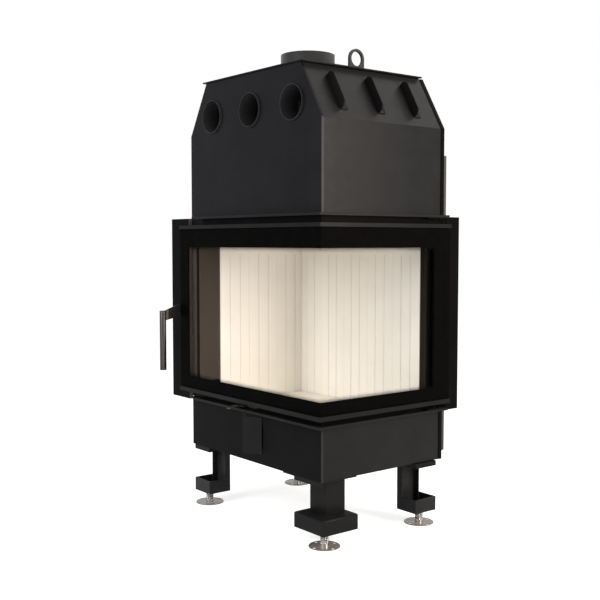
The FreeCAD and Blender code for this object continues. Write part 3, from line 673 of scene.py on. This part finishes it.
class SCENE_OT_insert_stage(InsertOperator):
    """Sets the floor, world, lamps and camera"""

    bl_idname = "insert.stage"
    bl_label = "Studio stage"

    def execute(self, context):
        stage = settings("stage")
        scene = context.scene
        scene.view_settings.view_transform = "Standard"
        self.lay_floor(scene)
        scene.world = white_world("studio_world", stage.sky)
        lamp("key_lamp", place=(2.9, 1.0, 1.5), target=(0.3, 0.0, 1.0), size=1.5,
             power=stage.key_power, colour=warm_white)
        lamp("fill_lamp", place=(0.0, -3.3, 2.2), target=(0.0, 0.0, 0.9), size=2.4,
             power=stage.fill_power, colour=soft_white)
        lamp("top_lamp", place=(1.15, 2.1, 3.95), target=(0.2, 0.0, 1.5), size=2.6,
             power=stage.top_power, colour=soft_white)
        camera = bpy.data.cameras.new("camera")
        camera.lens = stage.lens
        camera.sensor_width = sensor_width
        camera.sensor_fit = "HORIZONTAL"
        viewer = bpy.data.objects.new("camera", camera)
        viewer.location = stage.place
        viewer.rotation_euler = (math.pi / 2 - stage.pitch, 0, stage.yaw)
        scene.collection.objects.link(viewer)
        scene.camera = viewer
        return {"FINISHED"}

    def lay_floor(self, scene):
        shape = bmesh.new()
        bmesh.ops.create_grid(shape, x_segments=1, y_segments=1, size=floor_size)
        mesh = bpy.data.meshes.new("floor")
        shape.to_mesh(mesh)
        shape.free()
        floor = bpy.data.objects.new("floor", mesh)
        scene.collection.objects.link(floor)
        mesh.materials.append(pale_floor("pale_floor"))


# One for rays that come from the camera or through gloss or glass
def seen_directly(tree):
    path = tree.nodes.new("ShaderNodeLightPath").outputs
    seen = arithmetic(tree, "MAXIMUM", path["Is Camera Ray"], path["Is Glossy Ray"])
    return arithmetic(tree, "MAXIMUM", seen, path["Is Transmission Ray"])


# A floor that looks white and still takes the shadow
def pale_floor(name):
    made, tree, shader = material(name)
    tone = clouds(tree, object_place(tree), scale=3.0)
    glow = 0.7
    set_shader(tree, shader, {
        "Base Color": two_tone(tree, tone, (0.78, 0.78, 0.78), (0.8, 0.8, 0.8)),
        "Roughness": 1.0,
        "Specular IOR Level": 0.0,
        "Emission Color": (1, 1, 1, 1),
        "Emission Strength": arithmetic(tree, "MULTIPLY", seen_directly(tree), glow),
    })
    return made


# White where it is seen, and of the given strength as a light
def white_world(name, strength):
    made = bpy.data.worlds.new(name)
    made.use_nodes = True
    tree = made.node_tree
    light = tree.nodes["Background"]
    light.inputs["Color"].default_value = (1, 1, 1, 1)
    level = add_node(tree, "ShaderNodeMix", data_type="FLOAT")
    for index, value in ((0, seen_directly(tree)), (2, strength), (3, 1.0)):
        feed(tree, level.inputs[index], value)
    tree.links.new(level.outputs[0], light.inputs["Strength"])
    return made


def lamp(name, place, target, size, power, colour):
    light = bpy.data.lights.new(name, "AREA")
    light.shape = "SQUARE"
    light.size = size
    light.energy = power
    light.color = colour
    made = bpy.data.objects.new(name, light)
    made.location = place
    aim = Vector(target) - Vector(place)
    made.rotation_euler = aim.to_track_quat("-Z", "Y").to_euler()
    bpy.context.scene.collection.objects.link(made)


making = (
    OBJECT_OT_insert_casing,
    OBJECT_OT_insert_surround,
    OBJECT_OT_insert_firebox,
    OBJECT_OT_insert_door,
    OBJECT_OT_insert_seal,
    OBJECT_OT_insert_handle,
    OBJECT_OT_insert_feet,
    SCENE_OT_insert_stage,
)
groups = {"paints": InsertPaints, "door": InsertDoor, "stage": InsertStage}


class VIEW3D_PT_insert(Panel):
    """Lists the settings and the operators in the sidebar"""

    bl_idname = "VIEW3D_PT_insert"
    bl_label = "Corner fireplace insert"
    bl_space_type = "VIEW_3D"
    bl_region_type = "UI"
    bl_category = "Insert"

    def draw(self, context):
        for group in groups:
            box = self.layout.box()
            for name in groups[group].__annotations__:
                box.prop(settings(group), name)
        for operator in making:
            self.layout.operator(operator.bl_idname)


def register():
    for group, kind in groups.items():
        bpy.utils.register_class(kind)
        setattr(bpy.types.Scene, "insert_" + group, PointerProperty(type=kind))
    for operator in making:
        bpy.utils.register_class(operator)
    bpy.utils.register_class(VIEW3D_PT_insert)


def unregister():
    bpy.utils.unregister_class(VIEW3D_PT_insert)
    for operator in reversed(making):
        bpy.utils.unregister_class(operator)
    for group, kind in groups.items():
        delattr(bpy.types.Scene, "insert_" + group)
        bpy.utils.unregister_class(kind)


def main():
    register()
    bpy.ops.insert.casing()
    bpy.ops.insert.surround()
    bpy.ops.insert.firebox()
    bpy.ops.insert.door()
    bpy.ops.insert.seal()
    bpy.ops.insert.handle()
    bpy.ops.insert.feet()
    bpy.ops.insert.stage()


if __name__ == "__main__":
    main()
